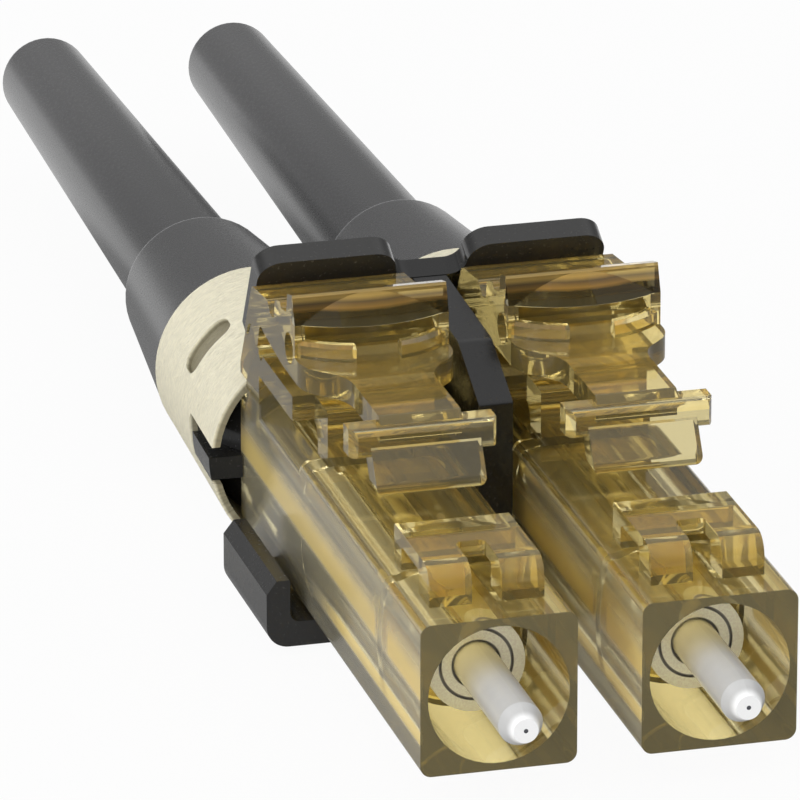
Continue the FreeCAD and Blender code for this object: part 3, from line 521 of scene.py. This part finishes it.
def brushed_plate(look):
    """Pale plate with short wavy brush marks round the sleeve, and painted shade on the pressed slot's floor
    and inside the sleeve.
    """
    material, s = sheet("brushed_plate")
    laid = s.add("ShaderNodeMapping", Vector=wrapped_place(s, look.wrap_radius))
    laid.inputs["Scale"].default_value = (1 / look.brush_length, 1 / look.brush_width, 1)
    marks = s.noise(laid.outputs[0], 1.0, 3, 0.6, 0.9)
    parts = s.add("ShaderNodeSeparateXYZ", Vector=s.place()).outputs
    front, rear = SLEEVE_BOX[0].y, SLEEVE_BOX[1].y
    slope = (look.front_radius - look.rear_radius) / (rear - front)
    drop = s.math("MULTIPLY", s.math("SUBTRACT", parts["Y"], front), slope)
    surface = s.math("SUBTRACT", look.front_radius, drop)
    depth = s.math("SUBTRACT", surface, axis_reach(s, parts))
    # Painted shade deeper than the outer surface: the slot floor and the sleeve's inside
    sunk_shade = s.ramp(depth, look.sunk_start, look.sunk_end)
    plate = s.tint(s.spread(marks, 0, 1), scaled(look.sleeve, 0.84), look.sleeve)
    s.finish(
        Base_Color=s.blend(sunk_shade, plate, (*look.recess_shade, 1)),
        Metallic=0.15,
        Roughness=s.spread(marks, 0.4, 0.55),
        Normal=s.bump(marks, BRUSH_HEIGHT, 1.0))
    return material


def turned_metal(name, plate, roughness, shade_rings=(), ring_shade_colour=(0, 0, 0)):
    """Metal with fine turning rings along Y and a light speckle; the rings argument gives painted shade
    rings in the grooves as (radius, half width), drawn in the ring colour.
    """
    material, s = sheet(name)
    place = s.place()
    rings = s.add(
        "ShaderNodeTexWave", {"bands_direction": "Y"}, Vector=place, Scale=RING_SCALE, Distortion=1.5)
    speck = s.noise(place, SPECK_SCALE, 3, 0.7)
    metal = s.tint(s.spread(speck, 0, 1), scaled(plate, 0.88), scaled(plate, 1.05))
    if shade_rings:
        parts = s.add("ShaderNodeSeparateXYZ", Vector=place).outputs
        reach = axis_reach(s, parts)
        for radius, half in shade_rings:
            # Painted shade along each groove ring
            off_ring = s.math("ABSOLUTE", s.math("SUBTRACT", reach, radius))
            metal = s.blend(s.ramp(off_ring, half * 0.5, half, 1, 0), metal, (*ring_shade_colour, 1))
    s.finish(
        Base_Color=metal,
        Metallic=0.6,
        Roughness=s.spread(speck, roughness, roughness + 0.15),
        Normal=s.bump(rings.outputs["Fac"], RING_HEIGHT, 0.4))
    return material


def white_ceramic():
    """Ground ceramic of the ferrules, with a painted highlight making the end face white and a painted warm
    reflection of the amber towards the flange.
    """
    material, s = sheet("white_ceramic")
    place = s.place()
    cloud = s.noise(place, CERAMIC_SCALE, 3)
    run = s.add("ShaderNodeSeparateXYZ", Vector=place).outputs["Y"]
    ground = s.tint(cloud, (0.49, 0.49, 0.485), (0.53, 0.53, 0.525))
    from_tip = s.math("SUBTRACT", run, FERRULE_TIP)
    # Painted warm reflection of the amber housing towards the flange
    ground = s.blend(s.ramp(from_tip, 2.2 * MM, 5.5 * MM), ground, (0.95, 0.9, 0.72, 1))
    s.finish(
        # Painted highlight: the end face much whiter than the ground sides
        Base_Color=s.blend(s.ramp(from_tip, 0, 0.3 * MM, 1, 0), ground, (0.92, 0.92, 0.92, 1)),
        Roughness=0.22)
    return material


def glass_core():
    """Polished end of the glass fibre, dark as light passes into it."""
    material, s = sheet("glass_core")
    cloud = s.noise(s.place(), GLASS_SCALE, 2)
    s.finish(
        Base_Color=s.tint(cloud, (0.05, 0.05, 0.06), (0.09, 0.09, 0.1)),
        Roughness=0.08)
    return material


def milky_tube():
    """White inner tube."""
    material, s = sheet("milky_tube")
    cloud = s.noise(s.place(), TUBE_SCALE, 3)
    s.finish(
        Base_Color=s.tint(cloud, (0.8, 0.8, 0.76), (0.88, 0.88, 0.84)),
        Roughness=s.spread(cloud, 0.35, 0.45))
    return material


def dress(node, material):
    """Give a CAD node its finish."""
    mesh = NODES[node].data
    mesh.materials.clear()
    mesh.materials.append(material)


def coil_tree(material):
    """Node tree of a round coil along Y, from named sizes."""
    tree = bpy.data.node_groups.new("coil_spring", "GeometryNodeTree")
    s = NodeSheet(tree)
    for name in ("Coil radius", "Wire radius", "Length", "Turns"):
        tree.interface.new_socket(name, in_out="INPUT", socket_type="NodeSocketFloat")
    tree.interface.new_socket("Centre", in_out="INPUT", socket_type="NodeSocketVector")
    tree.interface.new_socket("Steps", in_out="INPUT", socket_type="NodeSocketInt")
    tree.interface.new_socket("Geometry", in_out="OUTPUT", socket_type="NodeSocketGeometry")
    given = s.add("NodeGroupInput").outputs
    spiral = s.add("GeometryNodeCurveSpiral", Rotations=given["Turns"], Resolution=given["Steps"])
    s.feed(spiral.inputs["Start Radius"], given["Coil radius"])
    s.feed(spiral.inputs["End Radius"], given["Coil radius"])
    s.feed(spiral.inputs["Height"], given["Length"])
    laid = s.add("GeometryNodeTransform", Geometry=spiral.outputs[0], Translation=given["Centre"])
    laid.inputs["Rotation"].default_value = (-math.pi / 2, 0, 0)
    ring = s.add("GeometryNodeCurvePrimitiveCircle", Resolution=14, Radius=given["Wire radius"])
    wire = s.add("GeometryNodeCurveToMesh", Curve=laid.outputs[0])
    s.feed(wire.inputs["Profile Curve"], ring.outputs[0])
    s.feed(wire.inputs["Fill Caps"], True)
    smooth = s.add("GeometryNodeSetShadeSmooth", Geometry=wire.outputs[0])
    real = s.add("GeometryNodeRealizeInstances", Geometry=smooth.outputs[0])
    painted = s.add("GeometryNodeSetMaterial", Geometry=real.outputs[0], Material=material)
    s.add("NodeGroupOutput", Geometry=painted.outputs[0])
    return tree


def grow(name, tree, sizes, body):
    """Plain mesh piece from a node tree and its named sizes, riding on a body."""
    seed = bpy.data.objects.new(name + "_seed", bpy.data.meshes.new(name + "_seed"))
    bpy.context.scene.collection.objects.link(seed)
    modifier = seed.modifiers.new("shape", "NODES")
    modifier.node_group = tree
    for item in tree.interface.items_tree:
        if item.in_out == "INPUT":
            modifier[item.identifier] = sizes[item.name]
    bpy.context.view_layer.update()
    mesh = bpy.data.meshes.new_from_object(seed.evaluated_get(bpy.context.evaluated_depsgraph_get()))
    bpy.data.objects.remove(seed)
    piece = bpy.data.objects.new(name, mesh)
    bpy.context.scene.collection.objects.link(piece)
    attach(piece, body)
    return piece


class PLUG_OT_amber_mouldings(bpy.types.Operator):
    """Clear amber finish for both housings and both levers"""

    bl_idname = "plug.amber_mouldings"
    bl_label = "Amber mouldings"

    def execute(self, context):
        material = amber_plastic(context.scene.plug_amber)
        for side in SIDES:
            dress(side + "_housing", material)
            dress(side + "_latch_lever", material)
        return {"FINISHED"}


class PLUG_OT_black_mouldings(bpy.types.Operator):
    """Hard black finish for the clip and the rear bodies"""

    bl_idname = "plug.black_mouldings"
    bl_label = "Black mouldings"

    def execute(self, context):
        material = black_moulding(context.scene.plug_dark)
        for node in ("duplex_clip", "left_rear_body", "right_rear_body"):
            dress(node, material)
        return {"FINISHED"}


class PLUG_OT_boots(bpy.types.Operator):
    """Soft satin finish for the two boots"""

    bl_idname = "plug.boots"
    bl_label = "Boots"

    def execute(self, context):
        material = soft_rubber(context.scene.plug_dark)
        for side in SIDES:
            dress(side + "_boot", material)
        return {"FINISHED"}


class PLUG_OT_metal_sleeves(bpy.types.Operator):
    """Pale brushed finish for the two sleeves"""

    bl_idname = "plug.metal_sleeves"
    bl_label = "Metal sleeves"

    def execute(self, context):
        material = brushed_plate(context.scene.plug_metal)
        for side in SIDES:
            dress(side + "_metal_sleeve", material)
        return {"FINISHED"}


class PLUG_OT_ferrule_sets(bpy.types.Operator):
    """Finishes for ferrules, flanges, glass fibres and inner tubes"""

    bl_idname = "plug.ferrule_sets"
    bl_label = "Ferrule sets"

    def execute(self, context):
        look = context.scene.plug_metal
        finishes = {
            "ferrule": white_ceramic(),
            "ferrule_flange": turned_metal("turned_flange", look.flange, 0.35, FLANGE_SHADE_RINGS, look.groove_shade),
            "fibre_stub": glass_core(),
            "inner_tube": milky_tube(),
        }
        for side in SIDES:
            for node, material in finishes.items():
                dress(f"{side}_{node}", material)
        return {"FINISHED"}


class PLUG_OT_springs(bpy.types.Operator):
    """Round wire coils in place of the plain coils"""

    bl_idname = "plug.springs"
    bl_label = "Springs"

    def execute(self, context):
        sizes = context.scene.plug_spring
        material = turned_metal("spring_wire", context.scene.plug_metal.wire, 0.25)
        tree = coil_tree(material)
        for side in SIDES:
            node = side + "_ferrule_spring"
            low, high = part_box(node)
            coil = grow(side + "_coil_spring", tree, {
                "Coil radius": (high.x - low.x) / 2 - sizes.wire_radius,
                "Wire radius": sizes.wire_radius,
                "Length": high.y - low.y - 2 * sizes.wire_radius,
                "Turns": sizes.turns,
                "Steps": sizes.steps,
                "Centre": ((low.x + high.x) / 2, low.y + sizes.wire_radius, (low.z + high.z) / 2),
            }, "plug")
            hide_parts(node)
            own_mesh(coil)
        return {"FINISHED"}


def studio_floor(near_end, far_end):
    """Pale floor: white to the camera and in clear faces, dimmer near by in shiny ones."""
    material, s = sheet("studio_floor")
    path = s.add("ShaderNodeLightPath").outputs
    speck = s.noise(s.place(), FLOOR_SCALE, 2)
    run = s.add("ShaderNodeSeparateXYZ", Vector=s.place()).outputs["Y"]
    far = s.ramp(run, near_end, far_end)
    dim = s.math("MULTIPLY", path["Is Glossy Ray"], s.math("SUBTRACT", 1, far))
    pale = s.tint(speck, (0.58, 0.58, 0.58), (0.62, 0.62, 0.62))
    card = s.add("ShaderNodeBsdfDiffuse", Color=s.blend(dim, pale, (0.3, 0.3, 0.3, 1)))
    glow = s.add("ShaderNodeEmission", Color=(1, 1, 1, 1), Strength=1.0)
    shiny = s.math("MULTIPLY", path["Is Glossy Ray"], s.math("MAXIMUM", far, 0.2))
    seen = s.math("MAXIMUM", shiny, path["Is Transmission Ray"])
    seen = s.math("MAXIMUM", path["Is Camera Ray"], seen)
    mix = s.add("ShaderNodeMixShader")
    s.feed(mix.inputs[0], s.math("MULTIPLY", seen, 0.95))
    s.feed(mix.inputs[1], card.outputs[0])
    s.feed(mix.inputs[2], glow.outputs[0])
    s.add("ShaderNodeOutputMaterial", Surface=mix.outputs[0])
    return material


def studio_world(level, ceiling):
    """Pale surround like a studio: a bright ceiling over dimmer walls."""
    world = bpy.data.worlds.new("studio_surround")
    world.use_nodes = True
    s = NodeSheet(world.node_tree)
    up = s.add("ShaderNodeSeparateXYZ", Vector=s.add("ShaderNodeTexCoord").outputs["Generated"]).outputs["Z"]
    sky = s.add("ShaderNodeBackground", Color=(1, 1, 1, 1), Strength=s.ramp(up, 0.3, 0.8, level, ceiling))
    s.add("ShaderNodeOutputWorld", Surface=sky.outputs[0])
    return world


def lamp(name, place, aim, size, power):
    """Soft square lamp that points at aim."""
    data = bpy.data.lights.new(name, "AREA")
    data.size = size
    data.energy = power
    lamp_object = bpy.data.objects.new(name, data)
    lamp_object.location = place
    lamp_object.rotation_euler = (Vector(aim) - Vector(place)).to_track_quat("-Z", "Y").to_euler()
    bpy.context.scene.collection.objects.link(lamp_object)


class PLUG_OT_stage(bpy.types.Operator):
    """Floor, surround, lamps and camera"""

    bl_idname = "plug.stage"
    bl_label = "Stage"

    def execute(self, context):
        scene = context.scene
        setup = scene.plug_stage
        aim = Vector(setup.aim)
        flat = math.cos(setup.elevation)
        side = math.sin(setup.azimuth) * flat
        back = Vector((side, -math.cos(setup.azimuth) * flat, math.sin(setup.elevation)))
        data = bpy.data.cameras.new("camera")
        data.sensor_width = 36
        data.lens = setup.lens
        data.clip_start, data.clip_end = CLIP_NEAR, CLIP_FAR
        camera = bpy.data.objects.new("camera", data)
        camera.location = aim + back * setup.distance
        camera.rotation_euler = (-back).to_track_quat("-Z", "Y").to_euler()
        scene.collection.objects.link(camera)
        scene.camera = camera
        scene.world = studio_world(setup.walls, setup.ceiling)
        scene.view_settings.view_transform = "Standard"
        for name, place, size, power in LAMPS:
            lamp(name, place, aim, size, getattr(setup, power))
        half = FLOOR_HALF
        mesh = bpy.data.meshes.new("floor")
        corners = [(-half, -half, 0), (half, -half, 0), (half, half, 0), (-half, half, 0)]
        mesh.from_pydata(corners, [], [(0, 1, 2, 3)])
        mesh.materials.append(studio_floor(setup.dim_end, setup.bright_start))
        floor = bpy.data.objects.new("floor", mesh)
        scene.collection.objects.link(floor)
        return {"FINISHED"}


class PLUG_PT_panel(bpy.types.Panel):
    """Panel with every step and its settings"""

    bl_idname = "PLUG_PT_panel"
    bl_label = "Fibre plug"
    bl_space_type = "VIEW_3D"
    bl_region_type = "UI"
    bl_category = "Fibre plug"

    def draw(self, context):
        for operator in OPERATORS:
            self.layout.operator(operator.bl_idname)
        for key in SETTINGS:
            group = getattr(context.scene, key)
            box = self.layout.box()
            for field in group.__annotations__:
                box.prop(group, field)


SETTINGS = {
    "plug_amber": AmberLook,
    "plug_dark": DarkLook,
    "plug_metal": MetalLook,
    "plug_spring": SpringSizes,
    "plug_stage": StageSetup,
}
OPERATORS = (
    PLUG_OT_amber_mouldings,
    PLUG_OT_black_mouldings,
    PLUG_OT_boots,
    PLUG_OT_metal_sleeves,
    PLUG_OT_ferrule_sets,
    PLUG_OT_springs,
    PLUG_OT_stage,
)


def register():
    for key, group in SETTINGS.items():
        bpy.utils.register_class(group)
        setattr(bpy.types.Scene, key, PointerProperty(type=group))
    for cls in (*OPERATORS, PLUG_PT_panel):
        bpy.utils.register_class(cls)


def unregister():
    for cls in reversed((*OPERATORS, PLUG_PT_panel)):
        bpy.utils.unregister_class(cls)
    for key, group in SETTINGS.items():
        delattr(bpy.types.Scene, key)
        bpy.utils.unregister_class(group)


def main():
    """Make every piece and the stage."""
    register()
    bpy.ops.plug.amber_mouldings()
    bpy.ops.plug.black_mouldings()
    bpy.ops.plug.boots()
    bpy.ops.plug.metal_sleeves()
    bpy.ops.plug.ferrule_sets()
    bpy.ops.plug.springs()
    bpy.ops.plug.stage()


if __name__ == "__main__":
    main()
